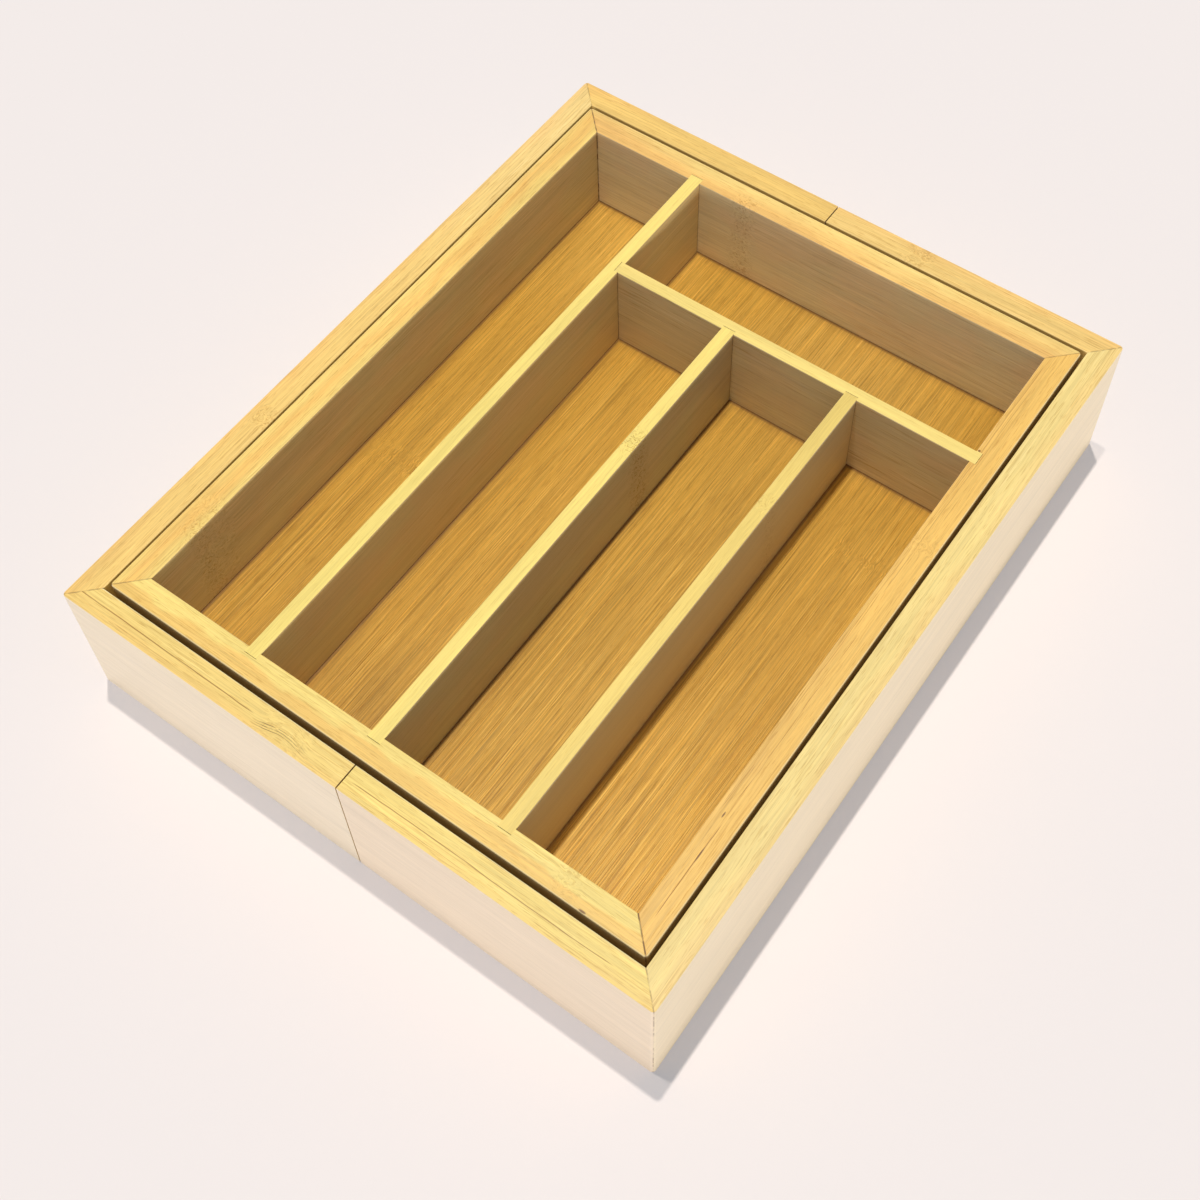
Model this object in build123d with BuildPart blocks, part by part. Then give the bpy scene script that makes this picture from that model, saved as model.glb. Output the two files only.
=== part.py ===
"""Expandable bamboo cutlery tray, closed: a centre tray with five compartments, standing inside
an outer frame whose left and right halves slide apart.

Millimetres. X runs to the right, Y to the back, Z up. The origin is under the middle of the
closed tray, on the surface that it stands on.
"""

import os

from build123d import *

os.makedirs("parts", exist_ok=True)

# Outer frame, closed
tray_width = 290.5
tray_depth = 357.5
frame_height = 71.5
frame_wall = 11.8
frame_corner_radius = 1.8
frame_edge_radius = 0.5
seam_gap = 0.6
frame_floor_lift = 4
frame_floor_thickness = 5
frame_groove_depth = 4

# Centre tray
side_clearance = 1.6
end_clearance = 2.4
lift_clearance = 0.5
rim_wall = 11.8
rim_rise = 1.1
rim_corner_radius = 1.6
rim_edge_radius = 0.5
centre_floor_lift = 10
centre_floor_thickness = 5
centre_groove_depth = 4

# Dividers, each let into the pieces that it meets
divider_thickness = 6.4
divider_edge_radius = 0.5
left_bay_width = 53.2
front_bay_width = 56.5
back_bay_depth = 60
wall_dado_depth = 3
divider_dado_depth = 1.8

# Guides: round-ended tongues, glued in the rails and running in grooves of the centre tray
guide_length = 34
guide_height = 6
guide_centre_height = 36
guide_inset = 4
guide_housing_depth = 3
guide_groove_depth = 3
guide_groove_end_web = 8

# Fits
panel_slack = 0.5
joint_slack = 0.2
slide_clearance = 0.3

# Worked out from the sizes above
frame_inner_width = tray_width - 2 * frame_wall
frame_inner_depth = tray_depth - 2 * frame_wall
frame_floor_top = frame_floor_lift + frame_floor_thickness
frame_floor_edge = frame_inner_width / 2 + frame_groove_depth - panel_slack
frame_floor_depth = frame_inner_depth + 2 * (frame_groove_depth - panel_slack)

centre_width = frame_inner_width - 2 * side_clearance
centre_depth = frame_inner_depth - 2 * end_clearance
centre_inner_width = centre_width - 2 * rim_wall
centre_inner_depth = centre_depth - 2 * rim_wall
centre_bottom = frame_floor_top + lift_clearance
rim_top = frame_height + rim_rise
centre_floor_bottom = centre_bottom + centre_floor_lift
centre_floor_top = centre_floor_bottom + centre_floor_thickness
compartment_depth = rim_top - centre_floor_top

inner_left = -centre_inner_width / 2
inner_right = centre_inner_width / 2
inner_front = -centre_inner_depth / 2
inner_back = centre_inner_depth / 2

long_divider_x = inner_left + left_bay_width + divider_thickness / 2
middle_divider_x = long_divider_x + front_bay_width + divider_thickness
right_divider_x = middle_divider_x + front_bay_width + divider_thickness
cross_divider_y = inner_back - back_bay_depth - divider_thickness / 2

guide_inner_end = seam_gap / 2 + guide_inset
guide_outer_end = guide_inner_end + guide_length
groove_inner_end = guide_inner_end - slide_clearance
groove_outer_end = centre_width / 2 - guide_groove_end_web
travel_to_stop = groove_outer_end - guide_outer_end

print(f"closed {tray_width} x {tray_depth} x {rim_top:.1f} mm")
print(f"slide to the groove's end {travel_to_stop:.1f} mm each side")


def mitred_ring(width, depth, wall, bottom, top, corner_radius, edge_radius):
    """Four walls in one, with rounded corners outside and eased edges on top."""
    with BuildPart() as ring:
        with BuildSketch(Plane.XY.offset(bottom)):
            RectangleRounded(width, depth, corner_radius)
            Rectangle(width - 2 * wall, depth - 2 * wall, mode=Mode.SUBTRACT)
        extrude(amount=top - bottom)
        fillet(ring.faces().sort_by(Axis.Z)[-1].edges(), edge_radius)
    return ring.part


def panel_groove(width, depth, groove_depth, bottom, thickness):
    """Solid that cuts a groove of its own thickness round the inside of a ring."""
    with BuildPart() as groove:
        with BuildSketch(Plane.XY.offset(bottom)):
            Rectangle(width + 2 * groove_depth, depth + 2 * groove_depth)
        extrude(amount=thickness)
    return groove.part


def mitre(width, depth, side, end):
    """Upright plane through the outer corner on that side and end, facing the side wall."""
    return Plane((side * width / 2, end * depth / 2, 0), z_dir=(side, -end, 0))


def facing_end(y):
    """Upright plane at y with X across and Z up."""
    return Plane.XZ.offset(-y)


def guide_outline(inner_end, outer_end, height, side):
    """Round-ended outline between two distances from the middle, for the current sketch."""
    with Locations((side * (inner_end + outer_end) / 2, guide_centre_height)):
        SlotOverall(outer_end - inner_end, height)


frame_ring = mitred_ring(
    tray_width, tray_depth, frame_wall, 0, frame_height, frame_corner_radius, frame_edge_radius
)
frame_groove = panel_groove(
    frame_inner_width, frame_inner_depth, frame_groove_depth, frame_floor_lift, frame_floor_thickness
)
centre_ring = mitred_ring(
    centre_width, centre_depth, rim_wall, centre_bottom, rim_top, rim_corner_radius, rim_edge_radius
)
centre_groove = panel_groove(
    centre_inner_width, centre_inner_depth, centre_groove_depth, centre_floor_bottom,
    centre_floor_thickness,
)

sides = {"left": -1, "right": 1}
ends = {"front": -1, "back": 1}

# Outer frame: each half has a side wall, two rails, a floor and two guides
for side_name, side in sides.items():
    seam = Plane((side * seam_gap / 2, 0, 0), z_dir=(side, 0, 0))

    with BuildPart() as side_wall:
        add(frame_ring)
        add(frame_groove, mode=Mode.SUBTRACT)
        for end in ends.values():
            split(bisect_by=mitre(tray_width, tray_depth, side, end), keep=Keep.TOP)
    side_wall.part.label = f"{side_name}_side_wall"
    export_step(side_wall.part, f"parts/{side_name}_side_wall.step")

    with BuildPart() as frame_floor:
        with BuildSketch(Plane.XY.offset(frame_floor_lift)):
            with Locations((side * (frame_floor_edge + seam_gap / 2) / 2, 0)):
                Rectangle(frame_floor_edge - seam_gap / 2, frame_floor_depth)
        extrude(amount=frame_floor_thickness)
    frame_floor.part.label = f"{side_name}_floor"
    export_step(frame_floor.part, f"parts/{side_name}_floor.step")

    for end_name, end in ends.items():
        housing_y = end * (frame_inner_depth / 2 + guide_housing_depth)

        with BuildPart() as rail:
            add(frame_ring)
            add(frame_groove, mode=Mode.SUBTRACT)
            split(bisect_by=mitre(tray_width, tray_depth, side, end), keep=Keep.BOTTOM)
            split(bisect_by=seam, keep=Keep.TOP)
            with BuildSketch(facing_end(housing_y)):
                guide_outline(
                    guide_inner_end - joint_slack, guide_outer_end + joint_slack, guide_height, side
                )
            extrude(amount=end * guide_housing_depth, mode=Mode.SUBTRACT)
        rail.part.label = f"{side_name}_{end_name}_rail"
        export_step(rail.part, f"parts/{side_name}_{end_name}_rail.step")

        with BuildPart() as guide:
            with BuildSketch(facing_end(housing_y)):
                guide_outline(guide_inner_end, guide_outer_end, guide_height, side)
            extrude(
                amount=end * (guide_housing_depth + end_clearance + guide_groove_depth - slide_clearance)
            )
        guide.part.label = f"{side_name}_{end_name}_guide"
        export_step(guide.part, f"parts/{side_name}_{end_name}_guide.step")

# Centre tray: the walls that the dividers' ends are let into, by the divider's place
wall_dados = {
    "front": [long_divider_x, middle_divider_x, right_divider_x],
    "back": [long_divider_x],
}

for end_name, end in ends.items():
    with BuildPart() as end_wall:
        add(centre_ring)
        add(centre_groove, mode=Mode.SUBTRACT)
        for side in sides.values():
            split(bisect_by=mitre(centre_width, centre_depth, side, end), keep=Keep.BOTTOM)
        with BuildSketch(Plane.XY.offset(centre_floor_top)):
            for x in wall_dados[end_name]:
                with Locations((x, end * (centre_inner_depth + wall_dado_depth) / 2)):
                    Rectangle(divider_thickness, wall_dado_depth)
        extrude(amount=compartment_depth, mode=Mode.SUBTRACT)
        with BuildSketch(facing_end(end * centre_depth / 2)):
            for side in sides.values():
                guide_outline(
                    groove_inner_end, groove_outer_end, guide_height + 2 * slide_clearance, side
                )
        extrude(amount=end * guide_groove_depth, mode=Mode.SUBTRACT)
    end_wall.part.label = f"centre_{end_name}_wall"
    export_step(end_wall.part, f"parts/centre_{end_name}_wall.step")

for side_name, side in sides.items():
    with BuildPart() as centre_side_wall:
        add(centre_ring)
        add(centre_groove, mode=Mode.SUBTRACT)
        for end in ends.values():
            split(bisect_by=mitre(centre_width, centre_depth, side, end), keep=Keep.TOP)
        if side_name == "right":
            with BuildSketch(Plane.XY.offset(centre_floor_top)):
                with Locations((inner_right + wall_dado_depth / 2, cross_divider_y)):
                    Rectangle(wall_dado_depth, divider_thickness)
            extrude(amount=compartment_depth, mode=Mode.SUBTRACT)
    centre_side_wall.part.label = f"centre_{side_name}_wall"
    export_step(centre_side_wall.part, f"parts/centre_{side_name}_wall.step")

with BuildPart() as centre_floor:
    with BuildSketch(Plane.XY.offset(centre_floor_bottom)):
        Rectangle(
            centre_inner_width + 2 * (centre_groove_depth - panel_slack),
            centre_inner_depth + 2 * (centre_groove_depth - panel_slack),
        )
    extrude(amount=centre_floor_thickness)
centre_floor.part.label = "centre_floor"
export_step(centre_floor.part, "parts/centre_floor.step")


def divider_board(start, finish, along, start_seat, finish_seat):
    """Board on the floor along X or Y, eased between its ends, with square ends let in by their seats."""
    length = abs(finish[0] - start[0]) + abs(finish[1] - start[1])
    across_x = along == Axis.Y
    middle = ((start[0] + finish[0]) / 2, (start[1] + finish[1]) / 2)
    with BuildPart() as board:
        with BuildSketch(Plane.XY.offset(centre_floor_top)):
            with Locations(middle):
                Rectangle(*((divider_thickness, length) if across_x else (length, divider_thickness)))
        extrude(amount=compartment_depth)
        fillet(board.edges().filter_by(along).group_by(Axis.Z)[-1], divider_edge_radius)
        with BuildSketch(Plane.XY.offset(centre_floor_top)):
            for place, seat, way in ((start, start_seat, -1), (finish, finish_seat, 1)):
                shift = way * seat / 2
                with Locations((place[0] + (0 if across_x else shift), place[1] + (shift if across_x else 0))):
                    Rectangle(*((divider_thickness, seat) if across_x else (seat, divider_thickness)))
        extrude(amount=compartment_depth)
    return board.part


wall_seat = wall_dado_depth - joint_slack
divider_seat = divider_dado_depth - joint_slack
cross_divider_front = cross_divider_y - divider_thickness / 2
long_divider_right = long_divider_x + divider_thickness / 2

with BuildPart() as long_divider:
    add(divider_board(
        (long_divider_x, inner_front), (long_divider_x, inner_back), Axis.Y, wall_seat, wall_seat
    ))
    with BuildSketch(Plane.XY.offset(centre_floor_top)):
        with Locations((long_divider_right - divider_dado_depth / 2, cross_divider_y)):
            Rectangle(divider_dado_depth, divider_thickness)
    extrude(amount=compartment_depth, mode=Mode.SUBTRACT)
long_divider.part.label = "long_divider"
export_step(long_divider.part, "parts/long_divider.step")

with BuildPart() as cross_divider:
    add(divider_board(
        (long_divider_right, cross_divider_y), (inner_right, cross_divider_y), Axis.X, divider_seat, wall_seat
    ))
    with BuildSketch(Plane.XY.offset(centre_floor_top)):
        for x in (middle_divider_x, right_divider_x):
            with Locations((x, cross_divider_front + divider_dado_depth / 2)):
                Rectangle(divider_thickness, divider_dado_depth)
    extrude(amount=compartment_depth, mode=Mode.SUBTRACT)
cross_divider.part.label = "cross_divider"
export_step(cross_divider.part, "parts/cross_divider.step")

for divider_name, x in (("middle_divider", middle_divider_x), ("right_divider", right_divider_x)):
    with BuildPart() as front_divider:
        add(divider_board((x, inner_front), (x, cross_divider_front), Axis.Y, wall_seat, divider_seat))
    front_divider.part.label = divider_name
    export_step(front_divider.part, f"parts/{divider_name}.step")
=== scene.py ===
import math
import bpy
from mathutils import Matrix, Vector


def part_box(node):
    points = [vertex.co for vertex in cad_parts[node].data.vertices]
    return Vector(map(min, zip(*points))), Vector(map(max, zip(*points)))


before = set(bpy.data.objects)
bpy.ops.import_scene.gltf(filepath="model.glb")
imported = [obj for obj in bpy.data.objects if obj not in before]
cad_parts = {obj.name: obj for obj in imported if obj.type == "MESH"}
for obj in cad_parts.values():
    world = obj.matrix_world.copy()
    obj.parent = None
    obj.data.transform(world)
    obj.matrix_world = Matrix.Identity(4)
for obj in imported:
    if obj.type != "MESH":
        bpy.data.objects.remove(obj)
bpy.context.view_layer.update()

from types import SimpleNamespace

import bpy
from mathutils import Vector

print("stage: packed tray loaded")


def spanOf(node, axis):
    # Lowest and highest place of a node along X, Y or Z, in millimetres
    low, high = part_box(node)
    return low["XYZ".index(axis)] * 1000, high["XYZ".index(axis)] * 1000


def wallEdges(node, grain):
    # Inner and outer edge of a board, across its grain
    low, high = spanOf(node, "Y" if grain == "X" else "X")
    return (low, high) if low + high > 0 else (high, low)


def mitreOffset(endWall, sideWall):
    # How much further out the end walls stand than the side walls, which places the mitres
    return abs(wallEdges(endWall, "X")[1]) - abs(wallEdges(sideWall, "Y")[1])


rimTop = spanOf("centre_front_wall", "Z")[1]
floorTop = spanOf("centre_floor", "Z")[1]
innerFront, innerBack = wallEdges("centre_front_wall", "X")[0], wallEdges("centre_back_wall", "X")[0]
innerRight = wallEdges("centre_right_wall", "Y")[0]
crossFront = spanOf("cross_divider", "Y")[0]
longRight = spanOf("long_divider", "X")[1]

# Camera, from the tray's corners in the picture, on a 36 mm sensor
cameraSettings = {
    "lens": 53.449,
    "place": (0.2539, -0.3385, 0.6862),
    "turnDegrees": (34.851, 1.207, 35.934),
    "shiftY": -0.12,
}

# Bulb straight above the tray. Strength is what a white surface at the rim's height gets.
bulbSettings = {
    "strength": 0.61,
    "place": (-0.030, 0.0, 1.285),
    "width": 0.045,
    "colour": (1.0, 0.98, 0.94),
}

# Far lamps by name. Towards points to the lamp, and width is in degrees.
lampSettings = {
    "tableLamp": {
        "strength": 0.56, "towards": (-0.108, 0.108, 1.0), "width": 1.3, "colour": (1.0, 0.99, 0.98)},
    "tableFill": {
        "strength": 0.26, "towards": (-0.108, -0.01, 1.0), "width": 1.3, "colour": (1.0, 0.99, 0.98)},
    "frontLamp": {
        "strength": 0.24, "towards": (-0.10, -0.97, 0.22), "width": 24.0, "colour": (1.0, 0.99, 0.985)},
    "sideLamp": {
        "strength": 0.27, "towards": (1.0, -0.18, 0.027), "width": 1.5, "colour": (1.0, 0.985, 0.96)},
    "backLamp": {
        "strength": 0.24, "towards": (-0.70, 0.72, 0.06), "width": 12.0, "colour": (1.0, 0.98, 0.95)},
}

# White light from all round, and the backdrop that the camera sees
roomSettings = {
    "strength": 0.35,
    "colour": (0.975, 0.985, 1.0),
    "backdropColour": (0.945, 0.890, 0.850),
}

# Table that the tray stands on
tableSettings = {
    "size": 6.0,
    "seenColour": (0.671, 0.581, 0.516),
    "glow": (0.128, 0.170, 0.224),      # keeps the table even and its shadow light, where it is seen
    "bounceColour": (0.80, 0.785, 0.77),
    "roughness": 0.9,
    # painted shade: the table is drawn dark at the bottom of slits shut in this far round
    "slitReach": 0.010,                 # slits, shut in this far round, have a dark bottom
    "slitLimits": (0.08, 0.28),         # openness that counts as shut and as open
    "slitShadeColour": (0.02, 0.014, 0.008),
}


def makeCamera(settings):
    camera = bpy.data.objects.new("camera", bpy.data.cameras.new("camera"))
    camera.data.lens = settings["lens"]
    camera.data.sensor_width = 36.0
    camera.data.shift_y = settings["shiftY"]
    camera.data.clip_start = 0.01
    camera.location = settings["place"]
    camera.rotation_euler = [math.radians(angle) for angle in settings["turnDegrees"]]
    bpy.context.scene.collection.objects.link(camera)
    bpy.context.scene.camera = camera


def makeBulb(settings):
    bulb = bpy.data.objects.new("bulb", bpy.data.lights.new("bulb", "AREA"))
    away = settings["place"][2] - rimTop / 1000
    bulb.data.energy = settings["strength"] * math.pi ** 2 * away ** 2
    bulb.data.shape = "DISK"
    bulb.data.size = settings["width"]
    bulb.data.color = settings["colour"]
    bulb.location = settings["place"]
    bpy.context.scene.collection.objects.link(bulb)
    return bulb


def makeLamp(name, settings):
    lamp = bpy.data.objects.new(name, bpy.data.lights.new(name, "SUN"))
    lamp.data.energy = settings["strength"] * math.pi
    lamp.data.angle = math.radians(settings["width"])
    lamp.data.color = settings["colour"]
    lamp.rotation_euler = Vector(settings["towards"]).to_track_quat("Z", "Y").to_euler()
    bpy.context.scene.collection.objects.link(lamp)
    return lamp


def linkLight(lamp, objects, state):
    # INCLUDE lights these objects alone, EXCLUDE lights all but them
    receivers = bpy.data.collections.new(lamp.name + "Receivers")
    for one in objects:
        receivers.objects.link(one)
    lamp.light_linking.receiver_collection = receivers
    for entry in receivers.collection_objects:
        entry.light_linking.link_state = state


def addNode(tree, kind, settings=None, inputs=None):
    made = tree.nodes.new(kind)
    for name, value in (settings or {}).items():
        setattr(made, name, value)
    for name, value in (inputs or {}).items():
        if isinstance(value, bpy.types.NodeSocket):
            tree.links.new(value, made.inputs[name])
        else:
            made.inputs[name].default_value = value
    return made


def calc(tree, operation, first, second=0.0, third=0.0):
    inputs = {0: first, 1: second, 2: third}
    return addNode(tree, "ShaderNodeMath", {"operation": operation}, inputs).outputs[0]


def product(tree, *factors):
    total = factors[0]
    for factor in factors[1:]:
        total = calc(tree, "MULTIPLY", total, factor)
    return total


def distance(tree, value, place):
    return calc(tree, "ABSOLUTE", calc(tree, "SUBTRACT", value, place))


def swing(tree, noise, amount):
    # Noise as a swing to both sides of zero
    return calc(tree, "MULTIPLY", calc(tree, "SUBTRACT", noise, 0.5), amount)


def fade(tree, value, start, end, low=0.0, high=1.0):
    # Goes smoothly from low at start to high at end
    inputs = {"Value": value, "From Min": start, "From Max": end, "To Min": low, "To Max": high}
    return addNode(tree, "ShaderNodeMapRange", {"interpolation_type": "SMOOTHSTEP"}, inputs).outputs[0]


def mixColour(tree, amount, first, second, blend="MIX"):
    made = addNode(tree, "ShaderNodeMix", {"data_type": "RGBA", "blend_type": blend})
    for socket, value in ((made.inputs[0], amount), (made.inputs[6], first), (made.inputs[7], second)):
        if isinstance(value, bpy.types.NodeSocket):
            tree.links.new(value, socket)
        else:
            socket.default_value = (*value, 1.0) if isinstance(value, tuple) else value
    return made.outputs[2]


def splitVector(tree, vector):
    return addNode(tree, "ShaderNodeSeparateXYZ", None, {0: vector}).outputs


def joinVector(tree, first, second, third):
    return addNode(tree, "ShaderNodeCombineXYZ", None, {0: first, 1: second, 2: third}).outputs[0]


def vectorCalc(tree, operation, inputs):
    return addNode(tree, "ShaderNodeVectorMath", {"operation": operation}, inputs).outputs


def scaleVector(tree, vector, scale):
    return vectorCalc(tree, "SCALE", {0: vector, "Scale": scale})[0]


def lengthOf(tree, vector):
    return vectorCalc(tree, "LENGTH", {0: vector})["Value"]


def plainNoise(tree, point, scale):
    inputs = {"Vector": point, "Scale": scale, "Detail": 1.0}
    return addNode(tree, "ShaderNodeTexNoise", None, inputs).outputs["Fac"]


def grainNoise(tree, point, length, width, seed, detail=3.0, roughness=0.6):
    # Noise drawn out along the grain, its length and width in millimetres
    stretch = addNode(tree, "ShaderNodeMapping", None, {
        "Vector": point,
        "Location": (seed * 17.3, seed * 5.1, seed * 9.7),
        "Scale": (1 / length, 1 / width, 1 / width),
    })
    inputs = {"Vector": stretch.outputs[0], "Scale": 1.0, "Detail": detail, "Roughness": roughness}
    return addNode(tree, "ShaderNodeTexNoise", None, inputs).outputs["Fac"]


def seenShare(tree):
    # 1 where the surface is looked at or mirrored, 0 where it only throws light
    rays = addNode(tree, "ShaderNodeLightPath").outputs
    share = calc(tree, "MAXIMUM", rays["Is Camera Ray"], rays["Is Glossy Ray"])
    return calc(tree, "MAXIMUM", share, rays["Is Transmission Ray"])


def makeTable(settings):
    half = settings["size"] / 2
    mesh = bpy.data.meshes.new("table")
    corners = [(-half, -half, 0), (half, -half, 0), (half, half, 0), (-half, half, 0)]
    mesh.from_pydata(corners, [], [(0, 1, 2, 3)])
    table = bpy.data.objects.new("table", mesh)
    bpy.context.scene.collection.objects.link(table)
    material = bpy.data.materials.new("paleTable")
    material.use_nodes = True
    tree = material.node_tree
    shader = tree.nodes["Principled BSDF"]
    seen = seenShare(tree)
    # Painted shade: at the bottom of narrow slits the table is drawn dark and its glow stops
    around = addNode(tree, "ShaderNodeAmbientOcclusion", {"samples": 8}, {"Distance": settings["slitReach"]})
    openness = fade(tree, around.outputs["AO"], *settings["slitLimits"])
    colour = mixColour(tree, openness, settings["slitShadeColour"], settings["seenColour"])
    tree.links.new(mixColour(tree, seen, settings["bounceColour"], colour), shader.inputs["Base Color"])
    shader.inputs["Emission Color"].default_value = (*settings["glow"], 1.0)
    tree.links.new(product(tree, seen, openness), shader.inputs["Emission Strength"])
    shader.inputs["Roughness"].default_value = settings["roughness"]
    shader.inputs["Specular IOR Level"].default_value = 0.0
    mesh.materials.append(material)
    return table


def makeRoomLight(settings):
    world = bpy.data.worlds.new("room")
    bpy.context.scene.world = world
    world.use_nodes = True
    tree = world.node_tree
    tree.nodes.clear()
    light = addNode(tree, "ShaderNodeBackground", None, {
        "Color": (*settings["colour"], 1), "Strength": settings["strength"]})
    backdrop = addNode(tree, "ShaderNodeBackground", None, {
        "Color": (*settings["backdropColour"], 1), "Strength": 1.0})
    choose = addNode(tree, "ShaderNodeMixShader", None, {
        0: seenShare(tree), 1: light.outputs[0], 2: backdrop.outputs[0]})
    addNode(tree, "ShaderNodeOutputWorld", None, {"Surface": choose.outputs[0]})


makeCamera(cameraSettings)
bulb = makeBulb(bulbSettings)
lamps = {name: makeLamp(name, settings) for name, settings in lampSettings.items()}
table = makeTable(tableSettings)
makeRoomLight(roomSettings)
centreNodes = [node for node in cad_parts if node.startswith("centre") or "divider" in node]
centreBoards = [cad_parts[node] for node in centreNodes]
for lamp in (bulb, lamps["sideLamp"], lamps["backLamp"]):
    linkLight(lamp, [table], "EXCLUDE")
linkLight(lamps["frontLamp"], [*centreBoards, table], "EXCLUDE")
for lamp in (lamps["tableLamp"], lamps["tableFill"]):
    linkLight(lamp, [table], "INCLUDE")
print("stage: camera, lamps and table made")

# Shared look of the lacquered bamboo. Lengths are in millimetres, colours are linear.
bambooFinish = {
    "fibreLength": 48.0, "fibreWidth": 0.7, "fibreContrast": 0.085,
    "stripLength": 160.0, "stripWidth": 5.0, "stripContrast": 0.05, "patchContrast": 0.16,
    "dashLength": 26.0, "dashWidth": 0.85, "dashEdge": 0.14, "lightStretch": 1.3,
    "darkTint": (0.66, 0.54, 0.36), "lightTint": (1.16, 1.20, 1.40),
    "dashClusters": (0.35, 1.25),    # share of the dashes between clusters and in them
    "dashReach": (-150.0, 150.0, 1.0, 1.0),   # two places along the board and the share at each
    "poreLength": 7.0, "poreWidth": 0.5, "pores": 0.4, "facePores": 0.35,
    "outerGrain": 0.5,               # share of all this on the outer faces
    # Dark colour of the joints and marks, and of the painted shade along the floors' feet
    "jointAndShadeColour": (0.16, 0.065, 0.022), "flowColour": (0.24, 0.11, 0.025), "glueTint": (0.42, 0.29, 0.18),
    # Painted highlight along the boards' edges: its colour and width
    "edgeHighlightColour": (0.99, 0.89, 0.58), "edgeHighlightWidth": 0.55,
    "drift": 1.8, "arcSize": (2.2, 1.1), "arcStrength": 0.68,
    # Painted light: a cool tint towards the faces' foot, against the floor's warm bounce light
    "paintedCoolFootTint": (0.97, 1.03, 1.10), "paintedCoolFootShare": 0.9,   # foot of the faces, against the floor's warm light
    "endTone": (0.78, 0.57, 0.27), "topTint": (1.0, 1.0, 1.0), "faceTint": (1.0, 1.0, 1.0),
    "toneWander": 1.3, "rippleShare": 0.6,   # how far the boundary between plies waves
    "roughness": 0.46, "roughnessRange": 0.16, "gloss": 0.35,
    "bumpHeight": 0.00012, "bumpStrength": 0.6, "dashHollow": 0.5, "jointHollow": 1.2,
}

# Noises laid over a board: length and width in millimetres, step added to the board's seed, detail
boardNoises = {
    "patches": (70.0, 30.0, 8.8, 1.0),
    "redPatches": (34.0, 22.0, 7.7, 1.0),
    "ripple": (22.0, 9.0, 2.9, 2.0),
    "clusters": (90.0, 14.0, 5.5, 1.0),
    "glueBreaks": (26.0, 6.0, 4.4, 3.0),
}

# How far these noises usually swing, so that a contrast in the finish is what shows
usualSwing = {"strips": 0.15, "fibres": 0.12}

# Steps added to a board's seed for the noises along its grain
seedSteps = {"fibres": 1.7, "darkDashes": 3.1, "lightDashes": 6.4, "arcs": 11.0, "pores": 13.0}

# Where each noise or direction starts to count, and where it counts in full
limits = {
    "facing": (0.45, 0.80), "facingEnd": (0.80, 0.95), "redPatches": (0.40, 0.60), "clusters": (0.38, 0.58),
    "pores": (0.58, 0.68), "arcs": (0.53, 0.64), "glueBreaks": (0.34, 0.50), "mitreBreaks": (0.40, 0.60),
    "archWave": (0.50, 0.90), "archBreaks": (0.28, 0.42), "easedOff": (0.10, 0.18),
    "stillFlat": (0.995, 0.97), "dash": 0.54,
}

# Thin dark lines: how far from the joint they start and are full, in millimetres
jointLines = {"mitre": (0.62, 0.12), "floorSeam": (0.85, 0.25), "boardEnd": (0.6, 0.15), "boardEndShare": 0.7}


def findPlaces(tree, finish):
    # Where a point lies on its board, in millimetres, and which way the surface faces
    wood = SimpleNamespace(tree=tree, finish=finish, seed=finish["seed"])
    place = addNode(tree, "ShaderNodeTexCoord")
    wood.point = scaleVector(tree, place.outputs["Object"], 1000.0)
    wood.x, wood.y, wood.z = splitVector(tree, wood.point)
    normalX, normalY, normalZ = splitVector(tree, place.outputs["Normal"])
    lengthwise = finish["grain"] == "X"
    wood.along, wood.across = (wood.x, wood.y) if lengthwise else (wood.y, wood.x)
    wood.onBoard = joinVector(tree, wood.along, wood.across, wood.z)
    inner, outer = finish["edges"]
    wood.depth = calc(tree, "DIVIDE", calc(tree, "SUBTRACT", wood.across, inner), outer - inner)
    wood.steep = calc(tree, "ABSOLUTE", normalZ)
    wood.topShare = fade(tree, wood.steep, *limits["facing"])
    wood.sideShare = calc(tree, "SUBTRACT", 1.0, wood.topShare)
    normalAlong, normalAcross = (normalX, normalY) if lengthwise else (normalY, normalX)
    outward = product(tree, normalAcross, math.copysign(1.0, outer - inner))
    wood.outerShare = fade(tree, outward, *limits["facing"])
    wood.endShare = fade(tree, calc(tree, "ABSOLUTE", normalAlong), *limits["facingEnd"])
    return wood


def boardNoise(wood, name, extraStep=0.0):
    length, width, seedStep, detail = boardNoises[name]
    return grainNoise(wood.tree, wood.onBoard, length, width, wood.seed + seedStep + extraStep, detail)


def findKnuckles(wood):
    # Places where the grain swirls for a few millimetres
    tree = wood.tree
    swirl = 0.0
    for where, reach, strength, middle, spread in wood.finish.get("knuckles", ()):
        lengthFade = fade(tree, distance(tree, wood.along, where), reach, 0.0)
        sideFade = fade(tree, distance(tree, wood.across, middle), spread, spread * 0.5)
        swirl = calc(tree, "MAXIMUM", swirl, product(tree, lengthFade, sideFade, strength))
    return swirl


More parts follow.
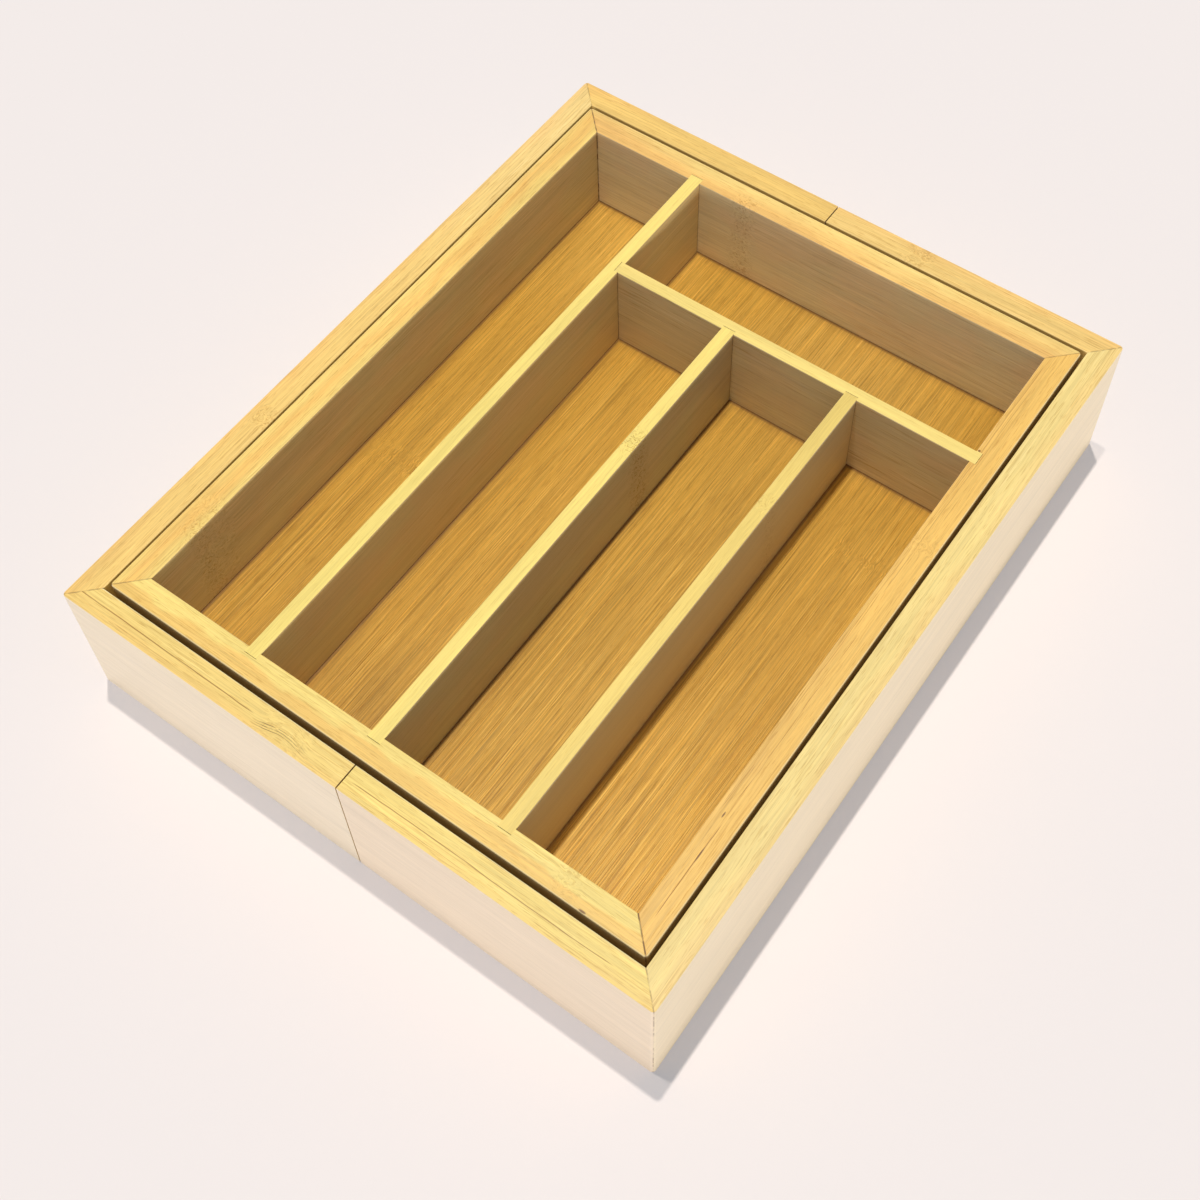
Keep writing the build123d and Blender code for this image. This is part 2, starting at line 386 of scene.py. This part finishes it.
def bendGrain(wood):
    # Gives the bent grain, and the thin dark lines that show where it arches over the board
    tree = wood.tree
    eddy = calc(tree, "SUBTRACT", plainNoise(tree, wood.point, 0.16), 0.5)
    drift = swing(tree, plainNoise(tree, wood.point, 0.018), wood.finish["drift"])
    bend = calc(tree, "MULTIPLY_ADD", eddy, product(tree, wood.swirl, 16.0), drift)
    flow = 0.0
    for middle, reach, lift, low, high, spacing in wood.finish.get("arches", ()):
        offset = calc(tree, "SUBTRACT", wood.along, middle)
        away = calc(tree, "ABSOLUTE", offset)
        arch = product(tree, fade(tree, away, reach, 0.0, 0.0, lift), wood.topShare)
        bend = calc(tree, "SUBTRACT", bend, arch)
        level = calc(tree, "MULTIPLY_ADD", eddy, 1.3, calc(tree, "SUBTRACT", wood.across, arch))
        wave = calc(tree, "SINE", calc(tree, "MULTIPLY", level, 2 * math.pi / spacing))
        spread = (high - low) / 2
        width = fade(tree, distance(tree, level, (low + high) / 2), spread, spread * 0.7)
        length = fade(tree, away, reach * 1.05, reach * 0.55)
        strong = fade(tree, offset, reach * 0.5, reach * -0.6, 0.5, 1.0)
        broken = fade(tree, plainNoise(tree, wood.point, 0.30), *limits["archBreaks"])
        line = product(tree, fade(tree, wave, *limits["archWave"]), broken, strong, width, length)
        flow = calc(tree, "MAXIMUM", flow, line)
    bentAcross, bentUp = calc(tree, "ADD", wood.across, bend), calc(tree, "ADD", wood.z, bend)
    return joinVector(tree, wood.along, bentAcross, bentUp), product(tree, flow, wood.topShare)


def layTones(wood):
    # Tones of the plies on top, of the inner faces, the outer face and the ends, with soft washes
    tree, finish = wood.tree, wood.finish
    ripple = boardNoise(wood, "ripple")
    wood.wander = calc(tree, "ADD", swing(tree, wood.patches, finish["toneWander"]),
                       swing(tree, ripple, finish["toneWander"] * finish["rippleShare"]))
    plies = addNode(tree, "ShaderNodeValToRGB", None, {"Fac": calc(tree, "ADD", wood.depth, wood.wander)})
    while len(plies.color_ramp.elements) < len(finish["topTones"]):
        plies.color_ramp.elements.new(0.5)
    for element, (position, colour) in zip(plies.color_ramp.elements, finish["topTones"]):
        element.position, element.color = position, (*colour, 1.0)
    redShare = fade(tree, boardNoise(wood, "redPatches"), *limits["redPatches"])
    faceTone = mixColour(tree, redShare, *finish["faceTones"])
    # Painted light: the faces grow cooler towards the floor, against its warm bounce light
    paintedCoolFootShare = fade(tree, wood.z, rimTop - 3.0, floorTop, 0.0, finish["paintedCoolFootShare"])
    faceTone = mixColour(tree, paintedCoolFootShare, faceTone, finish["paintedCoolFootTint"], "MULTIPLY")
    sideTone = mixColour(tree, wood.outerShare, faceTone, finish.get("outerTone", finish["faceTones"][0]))
    sideTone = mixColour(tree, wood.endShare, sideTone, finish["endTone"])
    tone = mixColour(tree, wood.topShare, sideTone, plies.outputs["Color"])
    # Per-board tints; on the inner faces they are partly painted light and shade, board by board
    tint = mixColour(tree, wood.topShare, finish["faceTint"], finish["topTint"])
    tint = mixColour(tree, wood.outerShare, tint, (1.0, 1.0, 1.0))
    tone = mixColour(tree, 1.0, tone, tint, "MULTIPLY")
    for washX, washY, reach, washTint in finish.get("washes", ()):
        overX, overY = calc(tree, "SUBTRACT", wood.x, washX), calc(tree, "SUBTRACT", wood.y, washY)
        away = lengthOf(tree, joinVector(tree, overX, overY, 0.0))
        tone = mixColour(tree, fade(tree, away, reach, 0.0), tone, washTint, "MULTIPLY")
    return tone


def dashNoise(wood, name, length):
    finish = wood.finish
    noise = grainNoise(wood.tree, wood.grain, length, finish["dashWidth"], wood.seed + seedSteps[name], 2.0)
    return fade(wood.tree, noise, limits["dash"], limits["dash"] + finish["dashEdge"])


def layStreaks(wood, tone):
    # Broad strips, fine fibres, long dashes and short pores, all weaker on the outer faces
    tree, finish, seed = wood.tree, wood.finish, wood.seed
    calm = fade(tree, wood.outerShare, 0.0, 1.0, 1.0, finish["outerGrain"])
    strips = grainNoise(tree, wood.grain, finish["stripLength"], finish["stripWidth"], seed, 2.0)
    lift = calc(tree, "ADD", swing(tree, strips, finish["stripContrast"] / usualSwing["strips"]), 1.0)
    lift = calc(tree, "ADD", swing(tree, wood.fibres, finish["fibreContrast"] / usualSwing["fibres"]), lift)
    lift = calc(tree, "ADD", swing(tree, wood.patches, finish["patchContrast"]), lift)
    lift = calc(tree, "ADD", product(tree, calc(tree, "SUBTRACT", lift, 1.0), calm), 1.0)
    tone = scaleVector(tree, tone, lift)
    clusters = boardNoise(wood, "clusters")
    amount = fade(tree, wood.topShare, 0.0, 1.0, finish["faceDashes"], finish["topDashes"])
    amount = product(tree, amount, fade(tree, clusters, *limits["clusters"], *finish["dashClusters"]))
    amount = product(tree, amount, fade(tree, wood.along, *finish["dashReach"]))
    amount = product(tree, calc(tree, "MINIMUM", amount, 1.0), calm)
    lightDash = dashNoise(wood, "lightDashes", finish["dashLength"] * finish["lightStretch"])
    tone = mixColour(tree, product(tree, wood.darkDash, amount), tone, finish["darkTint"], "MULTIPLY")
    tone = mixColour(tree, product(tree, lightDash, amount), tone, finish["lightTint"], "MULTIPLY")
    poreSeed = seed + seedSteps["pores"]
    pores = grainNoise(tree, wood.grain, finish["poreLength"], finish["poreWidth"], poreSeed, 1.0)
    poreShare = fade(tree, wood.topShare, 0.0, 1.0, finish["pores"] * finish["facePores"], finish["pores"])
    pores = product(tree, fade(tree, pores, *limits["pores"]), poreShare, calm)
    tone = mixColour(tree, pores, tone, finish["darkTint"], "MULTIPLY")

    # Short dark arcs in the knuckles
    arcs = grainNoise(tree, wood.grain, *finish["arcSize"], seed + seedSteps["arcs"], 1.0)
    arcs = product(tree, fade(tree, arcs, *limits["arcs"]), wood.swirl, finish["arcStrength"])
    tone = mixColour(tree, calc(tree, "MINIMUM", arcs, 1.0), tone, finish["darkTint"], "MULTIPLY")
    return mixColour(tree, wood.flow, tone, finish["flowColour"])


def layGlueLines(wood, tone):
    # Dark lines between plies, on part of the length. Gaps of 1 break a line up, 0 leaves it whole.
    tree = wood.tree
    for position, width, strength, start, end, gaps in wood.finish.get("plyLines", ()):
        wavy = calc(tree, "MULTIPLY_ADD", wood.wander, 0.10, wood.depth)
        line = fade(tree, distance(tree, wavy, position), width, width * 0.3)
        broken = fade(tree, boardNoise(wood, "glueBreaks", position), *limits["glueBreaks"], 1.0 - gaps, 1.0)
        begun = fade(tree, wood.along, start, start + 5.0)
        ended = fade(tree, wood.along, end, end - 5.0)
        line = product(tree, line, wood.topShare, broken, product(tree, begun, ended), strength)
        tone = mixColour(tree, line, tone, wood.finish["glueTint"], "MULTIPLY")
    return tone


def layEdgeHighlights(wood, tone):
    # Painted highlight: eased edges, and a band along the top's edges, are drawn towards a pale cream
    tree, finish = wood.tree, wood.finish
    leaning = fade(tree, wood.steep, *limits["easedOff"])
    eased = product(tree, leaning, fade(tree, wood.steep, *limits["stillFlat"]))
    inner, outer = finish["edges"]
    fromEdge = calc(tree, "MINIMUM", distance(tree, wood.across, inner), distance(tree, wood.across, outer))
    band = product(tree, fade(tree, fromEdge, finish["edgeHighlightWidth"], finish["edgeHighlightWidth"] * 0.6), wood.topShare)
    edge = calc(tree, "MAXIMUM", eased, band)
    edge = product(tree, edge, fade(tree, wood.depth, 0.4, 0.6, *finish["edgeHighlightShares"]))
    return mixColour(tree, edge, tone, finish["edgeHighlightColour"])


def layMarks(wood, tone):
    # Pinholes and small chips in the top of the rim
    tree = wood.tree
    for markX, markY, length, width in wood.finish.get("marks", ()):
        overX = calc(tree, "DIVIDE", calc(tree, "SUBTRACT", wood.x, markX), length / 2)
        overY = calc(tree, "DIVIDE", calc(tree, "SUBTRACT", wood.y, markY), width / 2)
        below = calc(tree, "SUBTRACT", wood.z, rimTop)
        away = lengthOf(tree, joinVector(tree, overX, overY, below))
        tone = mixColour(tree, fade(tree, away, 1.0, 0.5, 0.0, 0.85), tone, wood.finish["jointAndShadeColour"])
    return tone


farAway, footEdge = 100.0, 0.2   # millimetres


def layFootShade(wood, tone):
    # Painted shade: floors are darker along the feet of the boards that stand on them
    tree, finish = wood.tree, wood.finish
    if "feet" not in finish:
        return tone
    nearest = farAway
    for node in finish["feet"]:
        past = []
        for axis, value in (("X", wood.x), ("Y", wood.y)):
            low, high = spanOf(node, axis)
            past.append(calc(tree, "SUBTRACT", distance(tree, value, (low + high) / 2), (high - low) / 2))
        nearest = calc(tree, "MINIMUM", nearest, calc(tree, "MAXIMUM", *past))
    line, shade = (fade(tree, nearest, reach, footEdge, 0.0, amount) for reach, amount in finish["footShade"])
    return mixColour(tree, calc(tree, "MAXIMUM", line, shade), tone, finish["jointAndShadeColour"])


def findJoints(wood):
    # Dark lines where boards meet: mitres, the floor's seam and the dividers' ends
    tree, finish = wood.tree, wood.finish
    joint = 0.0
    if "mitreOffset" in finish:
        reach = calc(tree, "SUBTRACT", calc(tree, "ABSOLUTE", wood.x), calc(tree, "ABSOLUTE", wood.y))
        line = fade(tree, distance(tree, reach, -finish["mitreOffset"]), *jointLines["mitre"])
        darkness = fade(tree, wood.along, -1.0, 1.0, *finish["mitreDarkness"])
        breaks = plainNoise(tree, wood.point, 0.35)
        broken = fade(tree, breaks, *limits["mitreBreaks"], finish["mitreBreaks"], 1.0)
        joint = product(tree, line, darkness, broken)
    if "floorSeam" in finish:
        above = calc(tree, "SUBTRACT", wood.z, floorTop)
        inside = calc(tree, "SUBTRACT", wood.sideShare, wood.outerShare)
        seam = product(tree, fade(tree, above, *jointLines["floorSeam"]), inside, finish["floorSeam"])
        joint = calc(tree, "MAXIMUM", joint, seam)
    for end in finish.get("ends", ()):
        gap = distance(tree, wood.along, end)
        near = fade(tree, gap, *jointLines["boardEnd"], 0.0, jointLines["boardEndShare"])
        joint = calc(tree, "MAXIMUM", joint, product(tree, near, wood.sideShare))
    return joint


def makeBamboo(name, board):
    finish = {**bambooFinish, **board}
    material = bpy.data.materials.new(name)
    material.use_nodes = True
    tree = material.node_tree
    tree.nodes.clear()
    wood = findPlaces(tree, finish)
    wood.swirl = findKnuckles(wood)
    wood.grain, wood.flow = bendGrain(wood)
    wood.patches = boardNoise(wood, "patches")
    fibreSize = finish["fibreLength"], finish["fibreWidth"]
    wood.fibres = grainNoise(tree, wood.grain, *fibreSize, wood.seed + seedSteps["fibres"], 4.0, 0.7)
    wood.darkDash = dashNoise(wood, "darkDashes", finish["dashLength"])

    tone = layStreaks(wood, layTones(wood))
    tone = layFootShade(wood, layMarks(wood, layEdgeHighlights(wood, layGlueLines(wood, tone))))
    joint = findJoints(wood)
    tone = mixColour(tree, joint, tone, finish["jointAndShadeColour"])

    height = calc(tree, "SUBTRACT", wood.fibres, product(tree, wood.darkDash, finish["dashHollow"]))
    height = calc(tree, "SUBTRACT", height, product(tree, joint, finish["jointHollow"]))
    bump = addNode(tree, "ShaderNodeBump", None, {
        "Strength": finish["bumpStrength"], "Distance": finish["bumpHeight"], "Height": height})
    roughness = calc(tree, "ADD", swing(tree, wood.fibres, finish["roughnessRange"]), finish["roughness"])
    shader = addNode(tree, "ShaderNodeBsdfPrincipled", None, {
        "Base Color": tone, "Roughness": roughness, "Normal": bump.outputs[0],
        "Specular IOR Level": finish["gloss"]})
    addNode(tree, "ShaderNodeOutputMaterial", None, {"Surface": shader.outputs[0]})
    return material


def dress(node, board):
    # One material of its own for each board, so that no two share a grain
    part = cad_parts[node]
    material = makeBamboo(node + "_bamboo", {**board, "edges": wallEdges(node, board["grain"])})
    part.data.materials.clear()
    part.data.materials.append(material)
    for face in part.data.polygons:
        face.material_index = 0


yellowTop, orangeTop, deepTop = (0.950, 0.700, 0.225), (0.925, 0.580, 0.170), (0.88, 0.54, 0.160)
paleTop = (0.960, 0.755, 0.225)
# Inner faces darker than the tops: painted shade, in olive and reddish patches
shadedFaces = ((0.67, 0.530, 0.295), (0.69, 0.515, 0.285))   # olive and reddish patches
leftFrontFace, rightFrontFace = (0.93, 0.785, 0.60), (0.915, 0.745, 0.565)
rightFace, hiddenFace = (0.93, 0.77, 0.545), (0.93, 0.75, 0.46)

# Places on the boards are in millimetres along X or Y. Knuckles say where along the grain, how far they
# reach, how strong they are, where across the grain and how wide. Marks say where, how long and how wide.

# Mitred rim round the centre tray
rimBoards = {
    "shared": {
        "topDashes": 0.30, "faceDashes": 0.30, "edgeHighlightShares": (0.0, 0.1), "floorSeam": 0.8,
        "mitreOffset": mitreOffset("centre_front_wall", "centre_right_wall"), "mitreBreaks": 0.6,
        # The rim's outer faces, down in the gap to the frame, are darker: painted shade
        "faceTones": shadedFaces, "outerTone": (0.48, 0.36, 0.18)},
    "centre_front_wall": {
        "grain": "X", "seed": 1.0, "mitreDarkness": (0.55, 0.95), "edgeHighlightShares": (0.0, 0.45),
        "topTint": (1.04, 1.09, 1.05),
        "topTones": ((0.0, yellowTop), (0.42, yellowTop), (0.56, orangeTop), (1.0, orangeTop)),
        "knuckles": ((93.0, 9.0, 0.6, -157.0, 8.0),),
        "marks": ((103.5, -163.9, 4.2, 1.1),)},
    "centre_back_wall": {
        "grain": "X", "seed": 2.0, "mitreDarkness": (0.9, 0.5),
        # The back wall's brighter inner face is painted light
        "topTint": (1.08, 1.06, 1.10), "faceTint": (1.15, 1.23, 1.38),
        "topTones": ((0.0, deepTop), (0.22, deepTop), (0.36, orangeTop), (1.0, yellowTop)),
        "knuckles": ((-36.0, 9.0, 1.0, 152.0, 9.0),)},
    "centre_left_wall": {
        "grain": "Y", "seed": 3.0, "mitreDarkness": (0.55, 0.9),
        "topTint": (1.06, 1.03, 0.95), "faceTint": (0.97, 0.95, 0.80),
        "topTones": ((0.0, yellowTop), (0.5, orangeTop), (1.0, yellowTop)),
        "knuckles": ((-125.0, 9.0, 1.0, -120.0, 9.0), (-115.0, 9.0, 0.6, -124.0, 8.0))},
    "centre_right_wall": {
        "grain": "Y", "seed": 4.0, "mitreDarkness": (0.95, 0.5), "edgeHighlightShares": (0.0, 0.35),
        "topTones": ((0.0, deepTop), (0.26, orangeTop), (1.0, orangeTop)),
        "topTint": (1.04, 1.02, 0.90),
        "plyLines": ((0.47, 0.018, 0.9, -152.0, -106.0, 0.4), (0.42, 0.016, 0.7, -96.0, -10.0, 0.8),
                     (0.16, 0.018, 0.5, -104.0, 150.0, 1.0), (0.30, 0.018, 0.4, 10.0, 150.0, 1.0)),
        "knuckles": ((40.0, 8.0, 0.4, 126.0, 9.0),),
        "marks": ((121.0, 93.3, 1.5, 1.5), (125.6, -122.0, 0.8, 8.5), (124.1, -104.0, 0.8, 3.6))},
}

# Outer frame, in two halves
softTop = (0.94, 0.645, 0.205)
frameTones = ((0.0, yellowTop), (0.5, yellowTop), (1.0, softTop))
frameBoards = {
    "shared": {
        "topDashes": 0.35, "faceDashes": 0.15, "edgeHighlightShares": (0.1, 0.1),
        "mitreOffset": mitreOffset("left_front_rail", "left_side_wall"), "mitreBreaks": 0.25,
        "faceTones": ((0.83, 0.575, 0.185), (0.83, 0.575, 0.185)), "outerTone": hiddenFace,
        "bumpHeight": 0.00005},
    "left_side_wall": {
        "grain": "Y", "seed": 5.0, "mitreDarkness": (0.5, 0.5), "topTones": frameTones,
        "topTint": (1.01, 0.93, 0.92), "faceTint": (1.15, 1.15, 1.0),
        "washes": ((-139.0, 165.0, 160.0, (1.0, 1.07, 1.28)),),
        "knuckles": ((-66.4, 8.0, 1.0, -137.0, 7.0),)},
    "right_side_wall": {
        "grain": "Y", "seed": 6.0, "mitreDarkness": (0.5, 0.5), "outerTone": rightFace,
        "topTones": frameTones, "topTint": (0.98, 1.03, 1.22)},
    "left_front_rail": {
        "grain": "X", "seed": 7.0, "mitreDarkness": (0.6, 0.0), "outerTone": leftFrontFace,
        "topTones": frameTones,
        "plyLines": ((0.53, 0.026, 1.0, -150.0, -45.0, 0.25), (0.80, 0.018, 0.4, -120.0, -60.0, 1.0)),
        "edgeHighlightShares": (0.55, 0.1), "arches": ((-30.5, 14.0, 2.0, -177.4, -173.4, 0.95),)},
    "right_front_rail": {
        "grain": "X", "seed": 8.0, "mitreDarkness": (0.0, 0.6), "outerTone": rightFrontFace,
        "topTones": frameTones, "topTint": (1.0, 1.03, 0.98),
        "plyLines": ((0.53, 0.024, 0.9, 2.0, 125.0, 0.3), (0.80, 0.018, 0.45, 2.0, 60.0, 0.8)),
        "edgeHighlightShares": (0.55, 0.1)},
    "left_back_rail": {
        "grain": "X", "seed": 9.0, "mitreDarkness": (0.5, 0.0), "topTones": frameTones,
        "topTint": (0.96, 0.87, 0.80)},
    "right_back_rail": {
        "grain": "X", "seed": 10.0, "mitreDarkness": (0.0, 0.5),
        "topTones": frameTones, "topTint": (0.99, 0.92, 0.96),
        "knuckles": ((46.0, 8.0, 0.9, 172.0, 9.0),)},
}

# Thin boards between the compartments
dividerBoards = {
    "shared": {
        "topDashes": 0.10, "faceDashes": 0.3, "edgeHighlightShares": (0.0, 0.0), "floorSeam": 0.8,
        "fibreContrast": 0.05, "pores": 0.2, "topTint": (1.04, 1.04, 0.99),
        "topTones": ((0.0, paleTop), (1.0, paleTop)), "faceTones": shadedFaces},
    "long_divider": {
        "grain": "Y", "seed": 11.0, "ends": (innerFront, innerBack), "faceTint": (1.02, 0.99, 0.82)},
    "cross_divider": {
        "grain": "X", "seed": 12.0, "ends": (longRight, innerRight), "faceDashes": 0.5,
        "topTint": (1.05, 1.035, 1.08), "faceTint": (1.01, 1.04, 1.06)},
    "middle_divider": {
        "grain": "Y", "seed": 13.0, "ends": (innerFront, crossFront), "faceTint": (0.80, 0.81, 0.79),
        "knuckles": ((14.0, 10.0, 1.5, 0.0, 9.0),)},
    "right_divider": {
        "grain": "Y", "seed": 14.0, "ends": (innerFront, crossFront),
        "topTint": (1.0, 0.95, 0.90), "faceTint": (0.88, 0.97, 1.0),
        "knuckles": ((20.0, 8.0, 0.6, 62.0, 9.0),)},
}

# Floor panels, with the strongest streaks
goldenFloor, brownFloor = (0.69, 0.378, 0.052), (0.54, 0.27, 0.040)
floorPanels = {
    "shared": {
        "topDashes": 0.90, "faceDashes": 0.5, "edgeHighlightShares": (0.0, 0.0), "grain": "Y", "drift": 1.0,
        "fibreContrast": 0.20, "fibreLength": 55.0, "fibreWidth": 0.42,
        "dashLength": 75.0, "dashWidth": 0.48, "dashEdge": 0.08, "dashClusters": (0.60, 1.05), "pores": 0.6,
        # footShade is painted shade along the boards' feet: reach and amount of a thin line and of a wider
        # shade
        "dashReach": (-160.0, 140.0, 1.3, 0.42), "footShade": ((2.2, 0.75), (6.0, 0.22)),
        "darkTint": (0.76, 0.69, 0.54), "lightTint": (1.28, 1.38, 1.80),
        "stripWidth": 7.0, "stripContrast": 0.07, "patchContrast": 0.06,
        "topTones": ((0.0, goldenFloor), (1.0, goldenFloor)), "faceTones": (goldenFloor, brownFloor)},
    "centre_floor": {
        "seed": 15.0, "feet": [node for node in centreNodes if node != "centre_floor"],
        "knuckles": ((-27.6, 9.0, 0.22, -100.0, 20.0), (46.9, 8.0, 0.16, 100.0, 22.0)),
        # The first wash, lighter towards the front right, is painted light; the others shift the floor's tone
        "washes": ((85.0, -140.0, 110.0, (1.20, 1.25, 1.35)), (-100.0, 140.0, 80.0, (1.14, 1.20, 1.55)),
                   (40.0, 130.0, 90.0, (1.02, 1.06, 1.40)), (-30.0, -130.0, 45.0, (0.90, 0.90, 0.92)))},
    "left_floor": {"seed": 16.0, "feet": ("left_side_wall", "left_front_rail", "left_back_rail")},
    "right_floor": {"seed": 17.0, "feet": ("right_side_wall", "right_front_rail", "right_back_rail")},
}

# Tongues that run in the centre tray's grooves
guideTongues = {
    "shared": {
        "topDashes": 0.3, "faceDashes": 0.3, "edgeHighlightShares": (0.3, 0.3), "grain": "X",
        "topTones": ((0.0, orangeTop), (1.0, orangeTop)), "faceTones": (orangeTop, deepTop)},
    "left_front_guide": {"seed": 18.0},
    "left_back_guide": {"seed": 19.0},
    "right_front_guide": {"seed": 20.0},
    "right_back_guide": {"seed": 21.0},
}

for boards in (rimBoards, frameBoards, dividerBoards, floorPanels, guideTongues):
    for node, board in boards.items():
        if node != "shared":
            dress(node, {**boards["shared"], **board})
print("stage: bamboo on all boards")

bpy.context.scene.view_settings.view_transform = "Standard"
